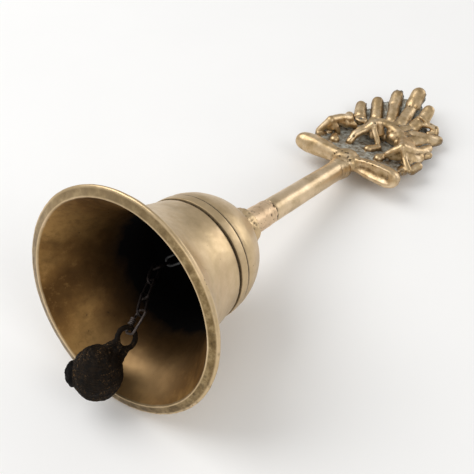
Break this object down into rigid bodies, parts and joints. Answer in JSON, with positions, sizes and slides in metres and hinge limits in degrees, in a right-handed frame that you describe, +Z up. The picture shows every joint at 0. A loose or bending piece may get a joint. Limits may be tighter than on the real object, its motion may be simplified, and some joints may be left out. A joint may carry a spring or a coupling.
{
  "type": "hand bell",
  "caption": "Cast brass hand bell with a flared mouth, round shank handle, flame-edged finial and an iron clapper hung on a wire chain.",
  "frame": {"origin": "centre of the bounding box's bottom face, on the surface the bell lies on", "axes": "+Z up, +X horizontal from the mouth towards the finial, +Y along the finial's crossbar to the left of someone looking from the mouth to the finial"},
  "size_m": [0.214, 0.076, 0.0747],
  "materials": {
    "bell_brass": "worn satin, tarnished darker inside",
    "boss_brass": "worn satin",
    "joint_bronze": "pitted, pinkish",
    "handle_brass": "worn satin",
    "bead_brass": "pitted casting",
    "finial_brass": "worn satin with grey-green patina in the recesses",
    "chain_iron": "dark rusted wire",
    "clapper_iron": "rough black-brown rust"
  },
  "bodies": {
    "bell": {"bell_shell": "bell_brass", "crown_boss": "boss_brass", "joint_sleeve": "joint_bronze", "handle_shank": "handle_brass", "junction_bead": "bead_brass", "finial": "finial_brass", "hanger_staple": "chain_iron"},
    "link_1": {"chain_link_1": "chain_iron"},
    "link_2": {"chain_link_2": "chain_iron"},
    "link_3": {"chain_link_3": "chain_iron"},
    "link_4": {"chain_link_4": "chain_iron"},
    "link_5": {"chain_link_5": "chain_iron"},
    "link_6": {"chain_link_6": "chain_iron"},
    "link_7": {"chain_link_7": "chain_iron"},
    "link_8": {"chain_link_8": "chain_iron", "tie_wire": "chain_iron"},
    "clapper": {"clapper": "clapper_iron"}
  },
  "joints": [
    {"name": "link_1_swing", "type": "hinge", "parent": "bell", "child": "link_1", "pos_m": [-0.04168, 0, 0.02739], "axis": [-0.1317, 0.807, -0.5757], "range_deg": [-1, 12]},
    {"name": "link_2_swing", "type": "hinge", "parent": "link_1", "child": "link_2", "pos_m": [-0.04816, 0.00033, 0.02933], "axis": [-0.2593, -0.5886, -0.7657], "range_deg": [-25, 1]},
    {"name": "link_3_swing", "type": "hinge", "parent": "link_2", "child": "link_3", "pos_m": [-0.05063, 0.00571, 0.02603], "axis": [-0.8946, -0.1524, 0.4201], "range_deg": [-42, 7]},
    {"name": "link_4_swing", "type": "hinge", "parent": "link_3", "child": "link_4", "pos_m": [-0.05325, 0.01069, 0.02225], "axis": [0.2239, 0.6607, 0.7165], "range_deg": [-2, 14]},
    {"name": "link_5_swing", "type": "hinge", "parent": "link_4", "child": "link_5", "pos_m": [-0.05949, 0.01002, 0.02482], "axis": [-0.3218, 0.744, -0.5856], "range_deg": [-1, 20]},
    {"name": "link_6_swing", "type": "hinge", "parent": "link_5", "child": "link_6", "pos_m": [-0.06564, 0.00718, 0.02459], "axis": [0.2709, -0.5203, -0.8099], "range_deg": [-45, 2]},
    {"name": "link_7_swing", "type": "hinge", "parent": "link_6", "child": "link_7", "pos_m": [-0.07175, 0.00424, 0.02444], "axis": [0.3392, -0.7358, 0.5861], "range_deg": [-62, 2]},
    {"name": "link_8_swing", "type": "hinge", "parent": "link_7", "child": "link_8", "pos_m": [-0.07763, 0.00094, 0.0237], "axis": [-0.3651, 0.4713, 0.8029], "range_deg": [-4, 45]},
    {"name": "clapper_swing", "type": "hinge", "parent": "link_8", "child": "clapper", "pos_m": [-0.08392, 0.00015, 0.0213], "axis": [0.0736, 0.8743, -0.4797], "range_deg": [-3, 40]}
  ]
}
